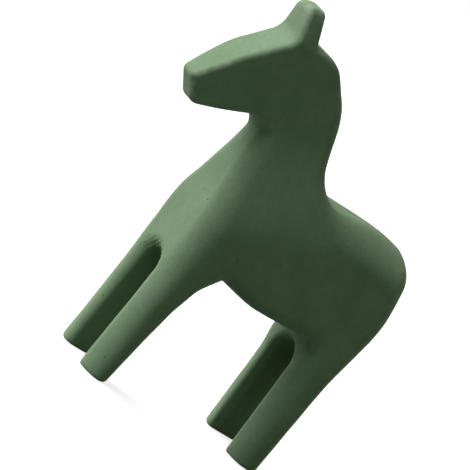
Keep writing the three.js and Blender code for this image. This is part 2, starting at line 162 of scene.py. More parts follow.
@dataclass
class CarvedForm:
    """The horse as a field that is negative in the wood, in millimetres.

    Heights run up from the floor, lengths run back from the line of the fore legs' fronts, and half
    thicknesses run out from the middle of the horse.
    """

    knee_height: float = 50.0
    thigh_height: float = 61.0
    forearm_height: float = 65.0
    belly_height: float = 73.5
    stifle_rise: float = 2.6
    elbow_height: float = 77.0
    rump_height: float = 92.3
    chest_height: float = 101.4
    back_height: float = 140.3
    back_crown: float = 2.0
    muzzle_height: float = 140.5
    nose_height: float = 153.5
    throat_height: float = 160.9
    forehead_height: float = 177.6
    neck_bend_height: float = 181.3
    brow_height: float = 197.4
    poll_height: float = 201.5
    ear_height: float = 217.8

    fore_foot_depth: float = 17.9
    fore_knee_depth: float = 22.4
    forearm_depth: float = 25.6
    hind_foot_depth: float = 21.1
    hind_knee_depth: float = 24.3
    trunk_length: float = 131.0
    heel_set_in: float = 3.4
    chest_swell: float = 1.2
    throat_set_back: float = 1.0
    elbow_set_back: float = 32.7
    belly_set_back: float = 56.7
    nose_reach: float = 51.8
    chin_reach: float = 41.3
    forehead_reach: float = 36.5
    brow_reach: float = 18.4
    ear_lean: float = 4.0
    ear_slope: float = 2.4
    ear_root_depth: float = 12.0
    ear_tip_depth: float = 10.2
    crest_set_back: float = 8.9
    crest_drop: float = 0.2
    neck_bend_set_back: float = 34.9
    withers_set_back: float = 50.2
    crown_set_back: float = 102.2

    shank_round: float = 60.0
    chest_round: float = 70.0
    throat_round: float = 8.9
    chin_round: float = 5.8
    nose_round: float = 3.0
    forehead_round: float = 70.0
    brow_round: float = 9.0
    ear_front_round: float = 4.0
    ear_rear_round: float = 3.6
    ear_root_round: float = 1.5
    crest_round: float = 24.0
    neck_bend_round: float = 50.0
    withers_round: float = 24.2
    crown_round: float = 90.0
    croup_round: float = 18.0
    rump_round: float = 61.9
    thigh_round: float = 60.0
    stifle_round: float = 9.0
    belly_round: float = 40.0
    elbow_round: float = 1.0
    forearm_round: float = 20.3
    fore_knee_round: float = 40.0

    trunk_half: float = 26.4
    fore_foot_half: float = 24.6
    hind_foot_half: float = 25.6
    neck_half: float = 12.5
    muzzle_half: float = 6.8
    ear_tip_half: float = 6.9
    cheek_fullness: float = 3.0
    ear_fullness: float = 1.2

    flare_height: float = 124.0
    flare_length: float = 60.0
    flare_lean: float = 0.4

    fore_gap_half: float = 9.3
    fore_gap_height: float = 70.5
    fore_gap_edge: float = 6.2
    hind_gap_half: float = 12.0
    hind_gap_height: float = 67.7
    hind_gap_edge: float = 3.0

    head_edge: float = 2.8
    neck_edge: float = 8.0
    jaw_fade: float = 9.0
    trunk_edge: float = 13.0
    trunk_edge_drop: float = 11.3
    rump_edge: float = 23.8
    rump_edge_drop: float = 27.5
    leg_edge: float = 9.5
    leg_edge_drop: float = 14.5
    belly_edge: float = 8.3
    sole_edge: float = 2.0
    sole_trim: float = 0.4

    corner_share: float = 0.48
    arc_step: float = 0.05
    slope_reach: float = 0.05

    # The unevenness of the hand: its height, its waves as radians per millimetre and phase, and the
    # heights between which it fades in above the flat soles
    hand_wander: float = 0.16
    hand_waves: tuple[tuple[float, float, float, float], ...] = (
        (0.21, 0.13, 0.08, 0.4),
        (-0.09, 0.27, 0.16, 2.1),
        (0.12, -0.17, 0.31, 4.0),
        (0.34, 0.22, -0.19, 1.2),
    )
    sole_fade: Span = (1.0, 6.0)

    # The torn wood at the top of the fore gap, and how far it runs along the wall, in from the outline
    # and down from the top
    torn_top: float = 0.5
    torn_waves: Triple = (2.1, 1.9, 1.4)
    torn_phase: float = 0.7
    torn_wall: Span = (1.0, 5.0)
    torn_inward: Span = (3.0, 8.0)
    torn_drop: Span = (2.0, 8.0)

    # How much hands rub the edges, the ears all over, and the nose between two distances from its tip
    edge_rub: float = 2.0
    edge_wear: float = 0.5
    tip_wear: float = 1.6
    ear_rub: float = 0.4
    nose_worn: Span = (3.0, 12.0)

    # How dark the shade painted into the two gaps is, and how it fades out of them
    fore_gap_shade: float = 0.25
    hind_gap_shade: float = 0.75
    shade_wall: Span = (0.3, 2.0)
    shade_inward: Span = (2.0, 9.0)
    shade_at_floor: float = 0.4

    outline: np.ndarray = field(init=False, repr=False)
    front_line: float = field(init=False)

    def __post_init__(self) -> None:
        """Draws the outline and finds where the fore legs stand in the model's frame."""
        self.outline = self.rounded_outline(self.side_corners())
        self.front_line = -(self.outline[:, 0].min() + self.outline[:, 0].max()) / 2

    def side_corners(self) -> list[Triple]:
        """Lists the corners of the side outline.

        Returns:
            Length, height and radius of each corner, in order round the horse.
        """
        heel = self.trunk_length - self.heel_set_in
        toe = heel - self.hind_foot_depth
        knee = heel - self.hind_knee_depth
        ear_tip = -self.brow_reach - self.ear_lean
        below = -self.knee_height / 2
        down = below / self.knee_height
        stifle = mix(toe, knee, self.belly_height / self.knee_height)
        return [
            (0.0, below, 0.0),
            (0.0, self.knee_height, self.shank_round),
            (-self.chest_swell, self.chest_height, self.chest_round),
            (self.throat_set_back, self.throat_height, self.throat_round),
            (-self.chin_reach, self.muzzle_height, self.chin_round),
            (-self.nose_reach, self.nose_height, self.nose_round),
            (-self.forehead_reach, self.forehead_height, self.forehead_round),
            (-self.brow_reach, self.brow_height, self.brow_round),
            (ear_tip, self.ear_height - self.ear_slope, self.ear_front_round),
            (ear_tip + self.ear_tip_depth, self.ear_height, self.ear_rear_round),
            (-self.brow_reach + self.ear_root_depth, self.poll_height, self.ear_root_round),
            (self.crest_set_back, self.poll_height - self.crest_drop, self.crest_round),
            (self.neck_bend_set_back, self.neck_bend_height, self.neck_bend_round),
            (self.withers_set_back, self.back_height - self.back_crown, self.withers_round),
            (self.crown_set_back, self.back_height + self.back_crown, self.crown_round),
            (self.trunk_length, self.back_height - self.back_crown, self.croup_round),
            (self.trunk_length, self.rump_height, self.rump_round),
            (heel, self.thigh_height, self.thigh_round),
            (heel, below, 0.0),
            (mix(toe, knee, down), below, 0.0),
            (stifle, self.belly_height + self.stifle_rise, self.stifle_round),
            (self.belly_set_back, self.belly_height, self.belly_round),
            (self.elbow_set_back, self.elbow_height, self.elbow_round),
            (self.forearm_depth, self.forearm_height, self.forearm_round),
            (self.fore_knee_depth, self.knee_height, self.fore_knee_round),
            (mix(self.fore_foot_depth, self.fore_knee_depth, down), below, 0.0),
        ]

    def rounded_outline(self, corners: list[Triple]) -> np.ndarray:
        """Rounds each corner with an arc.

        Args:
            corners: length, height and radius of each corner.

        Returns:
            Points of the outline, one row each.
        """
        points: list[Vector] = []
        for i, (length, height, radius) in enumerate(corners):
            before = Vector(corners[i - 1][:2])
            after = Vector(corners[(i + 1) % len(corners)][:2])
            points += self.rounded_corner(before, Vector((length, height)), after, radius)
        return np.array([tuple(point) for point in points])

    def rounded_corner(self, before: Vector, here: Vector, after: Vector, radius: float) -> list[Vector]:
        """Rounds one corner with an arc.

        Args:
            before: the corner before it.
            here: the corner.
            after: the corner after it.
            radius: radius of the arc, which comes out smaller where the sides are short.

        Returns:
            Points of the arc, or the corner alone where it stays sharp.
        """
        back = before - here
        ahead = after - here
        room = self.corner_share * min(back.length, ahead.length)
        back.normalize()
        ahead.normalize()
        half = math.acos(max(-1.0, min(1.0, back.dot(ahead)))) / 2
        reach = min(radius / math.tan(half), room)
        if reach < TINY:
            return [here]
        true_radius = reach * math.tan(half)
        centre = here + (back + ahead).normalized() * (true_radius / math.sin(half))
        start = here + back * reach - centre
        end = here + ahead * reach - centre
        turn = math.copysign(math.pi - 2 * half, start.x * end.y - start.y * end.x)
        steps = max(2, math.ceil(abs(turn) / self.arc_step))
        points = []
        for k in range(steps + 1):
            spoke = start.copy()
            spoke.rotate(Matrix.Rotation(turn * k / steps, 2))
            points.append(centre + spoke)
        return points

    def depth_in_outline(self, x: np.ndarray, z: np.ndarray) -> np.ndarray:
        """Measures how far places lie inside the side outline.

        Args:
            x: lengths in the model's frame.
            z: heights.

        Returns:
            Distances to the outline, negative outside it.
        """
        px = np.ravel(x) - self.front_line
        pz = np.ravel(z)
        nearest = np.full(px.shape, np.inf)
        inside = np.zeros(px.shape, bool)
        start = np.roll(self.outline, 1, axis=0)
        for (ax, az), (bx, bz) in zip(start, self.outline):
            ex, ez = bx - ax, bz - az
            wx, wz = px - ax, pz - az
            along = np.clip((wx * ex + wz * ez) / max(ex * ex + ez * ez, TINY), 0.0, 1.0)
            dx, dz = wx - along * ex, wz - along * ez
            np.minimum(nearest, dx * dx + dz * dz, out=nearest)
            if ez != 0:
                crossed = (az > pz) != (bz > pz)
                inside ^= crossed & (px < ax + ex * wz / ez)
        signed = np.where(inside, 1.0, -1.0) * np.sqrt(nearest)
        return signed.reshape(np.shape(x))

    def towards_tail(self, x: np.ndarray) -> np.ndarray:
        """Rises from 0 at the fore legs to 1 at the hind legs."""
        toe = self.trunk_length - self.heel_set_in - self.hind_foot_depth
        return ease(x - self.front_line, self.fore_foot_depth, toe)

    def on_trunk(self, x: np.ndarray, z: np.ndarray) -> np.ndarray:
        """Tells the trunk from the neck, with the flare between them.

        Args:
            x: lengths in the model's frame.
            z: heights.

        Returns:
            1 on the trunk to 0 on the neck.
        """
        lean = math.hypot(1.0, self.flare_lean)
        below = (self.flare_height + self.flare_lean * (x - self.front_line) - z) / lean
        return ease(below, -self.flare_length / 2, self.flare_length / 2)

    def half_thickness(self, x: np.ndarray, z: np.ndarray) -> np.ndarray:
        """Gives the half thickness of the block after thinning.

        Args:
            x: lengths in the model's frame.
            z: heights.

        Returns:
            Half thicknesses.
        """
        dx = self.nose_reach - self.brow_reach
        dz = self.brow_height - self.nose_height
        px = x - self.front_line + self.nose_reach
        from_nose = np.clip((px * dx + (z - self.nose_height) * dz) / (dx * dx + dz * dz), 0.0, 1.0)
        cheek = mix(self.neck_half, self.muzzle_half, (1.0 - from_nose) ** self.cheek_fullness)
        up_ear = np.clip((z - self.brow_height) / (self.ear_height - self.brow_height), 0.0, 1.0)
        head = mix(cheek, self.ear_tip_half, up_ear**self.ear_fullness)
        foot = mix(self.fore_foot_half, self.hind_foot_half, self.towards_tail(x))
        leg = mix(foot, self.trunk_half, ease(z, self.knee_height / 2, self.chest_height))
        return mix(head, leg, self.on_trunk(x, z))

    def on_neck(self, px: np.ndarray, z: np.ndarray) -> np.ndarray:
        """Tells the neck with its soft edges from the head with its crisp ones.

        Args:
            px: lengths back from the fore legs' fronts.
            z: heights.

        Returns:
            1 on the neck to 0 on the head. The line that halves the throat's corner parts them.
        """
        throat = Vector((self.throat_set_back, self.throat_height))
        jaw = (Vector((-self.chin_reach, self.muzzle_height)) - throat).normalized()
        front = (Vector((-self.chest_swell, self.chest_height)) - throat).normalized()
        across = (front - jaw).normalized()
        below_jaw = (px - throat.x) * across.x + (z - throat.y) * across.y
        below_poll = 1.0 - ease(z, self.poll_height - 2 * self.neck_edge, self.poll_height)
        nape = ease(px, 0.0, 2 * self.neck_edge) * below_poll
        return 1.0 - (1.0 - ease(below_jaw, 0.0, self.jaw_fade)) * (1.0 - nape)

    def on_belly(self, px: np.ndarray, z: np.ndarray) -> np.ndarray:
        """Tells the belly between the legs from what is round it.

        Args:
            px: lengths back from the fore legs' fronts.
            z: heights.

        Returns:
            1 on the belly to 0 away from it.
        """
        heel = self.trunk_length - self.heel_set_in
        between_legs = ease(px, self.fore_knee_depth, self.belly_set_back)
        before_haunch = 1.0 - ease(px, heel - self.hind_knee_depth, heel)
        above_knee = ease(z, self.knee_height, self.belly_height - self.belly_edge)
        below_back = 1.0 - ease(z, self.belly_height + self.belly_edge, self.back_height)
        return between_legs * before_haunch * above_knee * below_back

    def edge_rounding(self, x: np.ndarray, z: np.ndarray) -> tuple[np.ndarray, np.ndarray]:
        """Gives the rounding of the outline's edges.

        Args:
            x: lengths in the model's frame.
            z: heights.

        Returns:
            How far the rounding runs in from the outline, and how far down the side.
        """
        px = x - self.front_line
        head = mix(self.head_edge, self.neck_edge, self.on_neck(px, z))
        leg = 1.0 - ease(z, self.knee_height, self.chest_height)
        belly = self.on_belly(px, z)
        behind_withers = ease(px, self.withers_set_back, self.trunk_length - self.rump_edge)
        rump = behind_withers * ease(z, self.chest_height, self.back_height)
        trunk = self.on_trunk(x, z)

        def blend(upper: float, rear: float, lower: float) -> np.ndarray:
            """Blends one size of the rounding over the body."""
            body = mix(mix(upper, rear, rump), lower, leg)
            return mix(head, mix(body, self.belly_edge, belly), trunk)

        return (
            blend(self.trunk_edge, self.rump_edge, self.leg_edge),
            blend(self.trunk_edge_drop, self.rump_edge_drop, self.leg_edge_drop),
        )

    def side_view(self, x: np.ndarray, z: np.ndarray) -> View:
        """Collects what the field needs that doesn't change across the horse.

        Args:
            x: lengths in the model's frame.
            z: heights.

        Returns:
            Arrays of the shape of x, by name.
        """
        inward, drop = self.edge_rounding(x, z)
        return {
            "depth": self.depth_in_outline(x, z),
            "half": self.half_thickness(x, z),
            "inward": inward,
            "drop": drop,
            "tail": self.towards_tail(x) > 0.5,
        }

    def leg_gap(self, view: View, y: np.ndarray, z: np.ndarray) -> tuple[np.ndarray, np.ndarray]:
        """Reads the gap between the fore or the hind legs, a slot with a round top.

        Args:
            view: what side_view gave for the same lengths and heights.
            y: places across the horse.
            z: heights.

        Returns:
            Distances to the gap's wall, negative in the gap, and the heights of its top.
        """
        half = np.where(view["tail"], self.hind_gap_half, self.fore_gap_half)
        top = np.where(view["tail"], self.hind_gap_height, self.fore_gap_height)
        return np.hypot(y, np.maximum(z - top + half, 0.0)) - half, top

    def torn(self, view: View, x: np.ndarray, y: np.ndarray, z: np.ndarray) -> np.ndarray:
        """Gives the torn wood at the top of the gap between the fore legs.

        Args:
            view: what side_view gave for the same lengths and heights.
            x: lengths in the model's frame.
            y: places across the horse.
            z: heights.

        Returns:
            What it adds to the field.
        """
        gap, top = self.leg_gap(view, y, z)
        near_wall = 1.0 - ease(np.abs(gap), *self.torn_wall)
        near_rim = near_wall * (1.0 - ease(view["depth"], *self.torn_inward))
        near_top = near_rim * (1.0 - ease(np.abs(z - top), *self.torn_drop)) * ~view["tail"]
        along, across, up = self.torn_waves
        waves = np.sin(along * x + self.torn_phase) * np.sin(across * y + up * z)
        return self.torn_top * (waves * near_top)

    def wander(self, x: np.ndarray, y: np.ndarray, z: np.ndarray) -> np.ndarray:
        """Gives the unevenness that a rasp and sandpaper leave, a sum of a few long waves.

        Args:
            x: lengths in the model's frame.
            y: places across the horse.
            z: heights.

        Returns:
            What it adds to the field.
        """
        total = sum(np.sin(a * x + b * y + c * z + phase) for a, b, c, phase in self.hand_waves)
        return self.hand_wander * total / len(self.hand_waves) * ease(z, *self.sole_fade)

    def from_side_view(self, view: View, x: np.ndarray, y: np.ndarray, z: np.ndarray) -> np.ndarray:
        """Finishes the field at places across the horse.

        Args:
            view: what side_view gave for the same lengths and heights.
            x: lengths in the model's frame.
            y: places across the horse.
            z: heights.

        Returns:
            The field, negative in the wood.
        """
        inward = np.maximum(view["inward"] - view["depth"], 0.0) / view["inward"]
        drop = np.maximum(np.abs(y) - view["half"] + view["drop"], 0.0) / view["drop"]
        body = (np.hypot(inward, drop) - 1.0) * view["drop"]
        gap, _ = self.leg_gap(view, y, z)
        gap_edge = np.where(view["tail"], self.hind_gap_edge, self.fore_gap_edge)
        opened = rounded_meet(body, -gap, gap_edge) + self.torn(view, x, y, z)
        stood = rounded_meet(opened, -z - self.sole_trim, self.sole_edge)
        return stood + self.wander(x, y, z)

    def value(self, points: np.ndarray) -> np.ndarray:
        """Reads the field at points in rows, one value for each."""
        x, y, z = points.T
        return self.from_side_view(self.side_view(x, z), x, y, z)

    def slope(self, points: np.ndarray) -> np.ndarray:
        """Reads the field's slope.

        Args:
            points: one place in each row.

        Returns:
            One vector for each place.
        """
        parts = []
        for axis in range(3):
            step = np.zeros(3)
            step[axis] = self.slope_reach
            rise = self.value(points + step) - self.value(points - step)
            parts.append(rise / (2 * self.slope_reach))
        return np.stack(parts, axis=1)

    def rubbed(self, points: np.ndarray) -> np.ndarray:
        """Says how much a place lies on a crisp edge, where hands rub the paint.

        Args:
            points: one place in each row.

        Returns:
            0 on the faces to 1 on the crispest edges.
        """
        x, y, z = points.T
        view = self.side_view(x, z)
        inward = np.clip((view["inward"] - view["depth"]) / view["inward"], 0.0, 1.0)
        drop = np.clip((np.abs(y) - view["half"] + view["drop"]) / view["drop"], 0.0, 1.0)
        crisp = 1.0 - ease(view["inward"], self.head_edge, 2 * self.head_edge)
        ears = ease(z, self.brow_height, self.ear_height)
        nose = 1.0 - ease(x - self.front_line + self.nose_reach, *self.nose_worn)
        worn = mix(self.edge_wear, self.tip_wear, np.maximum(ears, nose))
        return np.clip(self.edge_rub * inward * drop * crisp * worn + self.ear_rub * ears, 0.0, 1.0)

    def painted_gap_shade(self, points: np.ndarray) -> np.ndarray:
        """Says how deep a place lies in a gap between two legs, where shade is painted into the colour.

        Args:
            points: one place in each row.

        Returns:
            0 outside the gaps to the gap's own shade at its top.
        """
        x, y, z = points.T
        view = self.side_view(x, z)
        gap, top = self.leg_gap(view, y, z)
        on_wall = 1.0 - ease(gap, *self.shade_wall)
        shade = np.where(view["tail"], self.hind_gap_shade, self.fore_gap_shade)
        upwards = mix(self.shade_at_floor, 1.0, ease(z / top, 0.0, 1.0))
        return shade * on_wall * ease(view["depth"], *self.shade_inward) * upwards


@dataclass
class CarvedSkin:
    """The closed surface of the carved form on a fine grid, in millimetres."""

    form: CarvedForm
    step: float = 1.3
    margin: float = 4.0
    settle_rounds: int = 2
    least_slope_squared: float = 1e-4
    points: np.ndarray = field(init=False, repr=False)
    quads: np.ndarray = field(init=False, repr=False)

    def __post_init__(self) -> None:
        """Finds the surface and settles its points."""
        axes = self.grid()
        values = self.grid_values(axes)
        self.points, numbers = self.cell_points(values, axes)
        self.quads = self.cell_squares(values < 0, numbers)
        self.settle()

    def grid(self) -> list[np.ndarray]:
        """Lays out the grid.

        Returns:
            The places along X, Y and Z.
        """
        low = self.form.outline.min(axis=0)
        high = self.form.outline.max(axis=0)
        front = low[0] + self.form.front_line - self.margin
        rear = high[0] + self.form.front_line + self.margin
        side = self.form.trunk_half + self.margin
        return [
            np.arange(front, rear, self.step),
            np.arange(-side, side, self.step),
            np.arange(-self.margin, high[1] + self.margin, self.step),
        ]

    def grid_values(self, axes: list[np.ndarray]) -> np.ndarray:
        """Reads the field on the grid.

        Args:
            axes: the places along X, Y and Z.

        Returns:
            Values by X, Y and Z.
        """
        x, z = np.meshgrid(axes[0], axes[2], indexing="ij")
        view = {name: part[:, None, :] for name, part in self.form.side_view(x, z).items()}
        return self.form.from_side_view(view, x[:, None, :], axes[1][None, :, None], z[:, None, :])

    @staticmethod
    def cell_edges(axis: int, cells: tuple[int, ...]) -> Iterator[tuple[Slices, Slices]]:
        """Walks over the four edges that every cell has along one axis.

        Args:
            axis: 0, 1 or 2 for X, Y or Z.
            cells: how many cells there are each way.

        Yields:
            Where the grid holds the near and the far ends of those edges.
        """
        others = [other for other in range(3) if other != axis]
        for corner in product((0, 1), repeat=2):
            near = [slice(0, n) for n in cells]
            for other, shift in zip(others, corner):
                near[other] = slice(shift, shift + cells[other])
            far = list(near)
            far[axis] = slice(1, 1 + cells[axis])
            yield tuple(near), tuple(far)

    def cell_points(self, values: np.ndarray, axes: list[np.ndarray]) -> tuple[np.ndarray, np.ndarray]:
        """Puts a point in each cell that the surface crosses, at the mean of where it crosses the edges.

        Args:
            values: the field on the grid.
            axes: the places along X, Y and Z.

        Returns:
            The points, and for each cell the number of its point.
        """
        wood = values < 0
        cells = tuple(n - 1 for n in values.shape)
        total = np.zeros((*cells, 3))
        count = np.zeros(cells)
        for axis in range(3):
            for near, far in self.cell_edges(axis, cells):
                a, b = values[near], values[far]
                cut = wood[near] != wood[far]
                share = np.where(cut, a / np.where(cut, a - b, 1.0), 0.0)
                spots = list(np.ix_(*(places[part] for places, part in zip(axes, near))))
                spots[axis] = spots[axis] + share * self.step
                for part, spot in enumerate(spots):
                    total[..., part] += np.where(cut, spot, 0.0)
                count += cut
        crossed = count > 0
        numbers = np.full(cells, -1)
        numbers[crossed] = np.arange(crossed.sum())
        return total[crossed] / count[crossed][:, None], numbers

    @staticmethod
    def cell_squares(wood: np.ndarray, numbers: np.ndarray) -> np.ndarray:
        """Joins the points of the four cells round each edge of the grid that the surface crosses.

        Args:
            wood: where the grid lies in the wood.
            numbers: for each cell the number of its point.

        Returns:
            Four point numbers for each square, all wound the same way.
        """
        squares = []
        for axis in range(3):
            u, v = (axis + 1) % 3, (axis + 2) % 3
            near = [slice(1, n) for n in numbers.shape]
            near[axis] = slice(0, numbers.shape[axis])
            far = list(near)
            far[axis] = slice(1, 1 + numbers.shape[axis])
            here, there = wood[tuple(near)], wood[tuple(far)]
            places = np.argwhere(here != there)
            into_wood = there[here != there]
            places[:, [u, v]] += 1
            ring = []
            for du, dv in ((0, 0), (-1, 0), (-1, -1), (0, -1)):
                cell = places.copy()
                cell[:, u] += du
                cell[:, v] += dv
                ring.append(numbers[tuple(cell.T)])
            corners = np.stack(ring, axis=1)
            corners[into_wood] = corners[into_wood][:, ::-1]
            squares.append(corners)
        return np.concatenate(squares)

    def settle(self) -> None:
        """Moves the points onto the surface, each by at most half a cell, and none below the floor."""
        start = self.points.copy()
        for _ in range(self.settle_rounds):
            slope = self.form.slope(self.points)
            steep = np.maximum((slope**2).sum(axis=1), self.least_slope_squared)
            moved = self.points - slope * (self.form.value(self.points) / steep)[:, None]
            self.points = np.clip(moved, start - self.step / 2, start + self.step / 2)
        self.points[:, 2] = np.maximum(self.points[:, 2], 0.0)


@dataclass(frozen=True)
class Grain:
    """A noise in the object's own space, spread so that it runs from 0 to 1.

    The scale counts its features for each metre, low and high are what becomes 0 and 1, and the stretch
    is a factor on the scale along X, Y and Z.
    """

    scale: float
    detail: float
    low: float
    high: float
    stretch: Triple = (1.0, 1.0, 1.0)


class NodeBench:
    """A material in the making, with the few kinds of node that the finishes need."""

    def __init__(self, name: str) -> None:
        """Starts a material with a plain shader.

        Args:
            name: name of the material.
        """
        self.material = bpy.data.materials.new(name)
        self.material.use_nodes = True
        self.nodes = self.material.node_tree.nodes
        self.links = self.material.node_tree.links
        self.shader = self.nodes["Principled BSDF"].inputs
        self.place = self.nodes.new("ShaderNodeTexCoord").outputs["Object"]

    def feed(self, socket: Socket, value: Socket | float | Triple) -> None:
        """Links a socket to another node's output, or sets it to a number or a colour.

        Args:
            socket: the socket.
            value: what it gets.
        """
        if isinstance(value, tuple):
            socket.default_value = (*value, 1.0)
        elif isinstance(value, float):
            socket.default_value = value
        else:
            self.links.new(value, socket)

    def noise(self, grain: Grain) -> Socket:
        """Makes a noise without spreading it.

        Args:
            grain: its scale, detail and stretch.

        Returns:
            The noise.
        """
        mapping = self.nodes.new("ShaderNodeMapping")
        mapping.inputs["Scale"].default_value = grain.stretch
        texture = self.nodes.new("ShaderNodeTexNoise")
        self.feed(texture.inputs["Scale"], grain.scale)
        self.feed(texture.inputs["Detail"], grain.detail)
        self.feed(mapping.inputs["Vector"], self.place)
        self.feed(texture.inputs["Vector"], mapping.outputs["Vector"])
        return texture.outputs["Fac"]

    def spread(self, value: Socket, old: Span, new: Span = (0.0, 1.0)) -> Socket:
        """Spreads a value from one range over another.

        Args:
            value: the value.
            old: the range that it has.
            new: the range that it gets.

        Returns:
            The spread value.
        """
        ranged = self.nodes.new("ShaderNodeMapRange")
        for name, level in zip(("From Min", "From Max", "To Min", "To Max"), (*old, *new)):
            self.feed(ranged.inputs[name], level)
        self.feed(ranged.inputs["Value"], value)
        return ranged.outputs["Result"]

    def grain(self, grain: Grain) -> Socket:
        """Makes a noise that runs from 0 to 1."""
        return self.spread(self.noise(grain), (grain.low, grain.high))

    def wear_and_shade(self, kind: WearAndShade) -> Socket:
        """Reads one of the skin's point marks, the rubbing or the painted shade.

        Args:
            kind: which mark, the rubbing or the painted shade.

        Returns:
            Its share.
        """
        read = self.nodes.new("ShaderNodeAttribute")
        read.attribute_name = kind.value
        return read.outputs["Fac"]

    def blend(self, share: Socket, first: Socket | Triple, second: Socket | Triple) -> Socket:
        """Blends two colours.

        Args:
            share: 0 for the first to 1 for the second.
            first: one colour.
            second: the other colour.

        Returns:
            The blended colour.
        """
        mixed = self.nodes.new("ShaderNodeMix")
        mixed.data_type = "RGBA"
        self.feed(mixed.inputs["Factor"], share)
        self.feed(mixed.inputs["A"], first)
        self.feed(mixed.inputs["B"], second)
        return mixed.outputs["Result"]

    def reckon(self, operation: str, first: Socket | float, second: Socket | float) -> Socket:
        """Reckons with two values.

        Args:
            operation: name of the sum.
            first: one value.
            second: the other value.

        Returns:
            The result.
        """
        node = self.nodes.new("ShaderNodeMath")
        node.operation = operation
        self.feed(node.inputs[0], first)
        self.feed(node.inputs[1], second)
        return node.outputs["Value"]

    def times(self, first: Socket | float, second: Socket | float) -> Socket:
        """Multiplies two values."""
        return self.reckon("MULTIPLY", first, second)

    def plus(self, first: Socket | float, second: Socket | float) -> Socket:
        """Adds two values."""
        return self.reckon("ADD", first, second)

    def bump(self, height: Socket, strength: float, depth: float) -> None:
        """Lets a height tilt the light on the surface.

        Args:
            height: the height, where 1 is the depth.
            strength: how much of it shows.
            depth: height of 1 in millimetres.
        """
        bump = self.nodes.new("ShaderNodeBump")
        self.feed(bump.inputs["Strength"], strength)
        self.feed(bump.inputs["Distance"], depth * MM)
        self.feed(bump.inputs["Height"], height)
        self.feed(self.shader["Normal"], bump.outputs["Normal"])


@dataclass(frozen=True)
class MattPaint:
    """Matt green paint, rubbed chalky on the crisp edges, with shade painted dark into the gaps between
    the legs.

    It has a fine speckle, faint sanding streaks and a few small pits, whose places are in millimetres. The
    pits are coloured darker, which paints shade into them.
    """

    name: str = "matt_green_paint"
    colour: Triple = (0.212, 0.345, 0.188)
    deep_colour: Triple = (0.17, 0.293, 0.148)
    chalk_colour: Triple = (0.46, 0.57, 0.44)
    # Painted shade, a near black green, for the tops of the gaps between the legs
    painted_gap_shade_colour: Triple = (0.05, 0.075, 0.045)
    # Painted shade in the small pits
    painted_pit_shade: Triple = (0.12, 0.19, 0.1)
    sheen_colour: Triple = (1.0, 0.9, 0.8)
    roughness: float = 0.82
    roughness_change: float = 0.06
    specular: float = 0.1
    sheen: float = 0.06

    clouds: Grain = Grain(45.0, 3.0, 0.35, 0.65)
    mottle: Grain = Grain(330.0, 3.0, 0.35, 0.65)
    speckle: Grain = Grain(1500.0, 2.0, 0.3, 0.7)
    streaks: Grain = Grain(520.0, 2.0, 0.42, 0.62, (1.0, 1.0, 0.06))
    grit: Grain = Grain(900.0, 1.0, 0.45, 0.65)
    patches: Grain = Grain(150.0, 4.0, 0.4, 0.62)

    mottle_share: float = 0.45
    streak_share: float = 0.02
    speckle_share: float = 0.14
    grit_share: float = 0.3
    rub_share: float = 0.6
    least_gap_shade_share: float = 0.7

    pits: tuple[Triple, ...] = (
        (-40.9, -11.5, 106.8),
        (-35.7, -22.1, 11.7),
        (-38.5, 10.9, 30.9),
        (-13.3, -26.4, 91.9),
        (-25.9, -23.2, 19.4),
    )
    pit_radius: float = 0.7
    pit_floor_radius: float = 0.28

    relief_strength: float = 0.8
    relief_depth: float = 0.08
    relief: tuple[tuple[str, float], ...] = (
        ("speckle", 0.25),
        ("mottle", 0.5),
        ("streaks", 0.05),
        ("pits", -3.0),
    )

    def pit(self, bench: NodeBench, place: Triple) -> Socket:
        """Marks one pit.

        Args:
            bench: the paint's nodes.
            place: its middle in millimetres.

        Returns:
            1 in the pit and 0 away from it.
        """
        apart = bench.nodes.new("ShaderNodeVectorMath")
        apart.operation = "DISTANCE"
        apart.inputs[1].default_value = [part * MM for part in place]
        bench.feed(apart.inputs[0], bench.place)
        rim = (self.pit_floor_radius * MM, self.pit_radius * MM)
        return bench.spread(apart.outputs["Value"], rim, (1.0, 0.0))

    def tone(self, bench: NodeBench, marks: dict[str, Socket]) -> Socket:
        """Mixes the colour, one layer over the other.

        Args:
            bench: the paint's nodes.
            marks: the mottle, speckle, streaks and pits.

        Returns:
            The colour.
        """
        clouds = bench.grain(self.clouds)
        rub = bench.times(bench.wear_and_shade(WearAndShade.RUBBED), bench.grain(self.patches))
        cloudy = bench.spread(clouds, (0.0, 1.0), (self.least_gap_shade_share, 1.0))
        layers = (
            (bench.times(marks["mottle"], self.mottle_share), self.deep_colour),
            (bench.times(marks["streaks"], self.streak_share), self.chalk_colour),
            (bench.times(marks["speckle"], self.speckle_share), self.chalk_colour),
            (bench.times(bench.grain(self.grit), self.grit_share), self.deep_colour),
            (bench.times(rub, self.rub_share), self.chalk_colour),
            # Painted shade: darkens the tops of the gaps between the legs, in patches
            (bench.times(bench.wear_and_shade(WearAndShade.PAINTED_GAP_SHADE), cloudy), self.painted_gap_shade_colour),
            # Painted shade: the pits are coloured darker
            (marks["pits"], self.painted_pit_shade),
        )
        tone = bench.blend(clouds, self.deep_colour, self.colour)
        for share, colour in layers:
            tone = bench.blend(share, tone, colour)
        return tone

    def material(self) -> bpy.types.Material:
        """Builds the paint's nodes.

        Returns:
            The material.
        """
        bench = NodeBench(self.name)
        marks = {
            "mottle": bench.grain(self.mottle),
            "speckle": bench.grain(self.speckle),
            "streaks": bench.grain(self.streaks),
            "pits": reduce(bench.plus, [self.pit(bench, place) for place in self.pits]),
        }
        roughness = (self.roughness - self.roughness_change, self.roughness + self.roughness_change)
        heights = [bench.times(marks[name], height) for name, height in self.relief]
        bench.feed(bench.shader["Specular IOR Level"], self.specular)
        bench.feed(bench.shader["Sheen Weight"], self.sheen)
        bench.feed(bench.shader["Sheen Tint"], self.sheen_colour)
        bench.feed(bench.shader["Base Color"], self.tone(bench, marks))
        bench.feed(bench.shader["Roughness"], bench.spread(marks["mottle"], (0.0, 1.0), roughness))
        bench.bump(reduce(bench.plus, heights), self.relief_strength, self.relief_depth)
        return bench.material


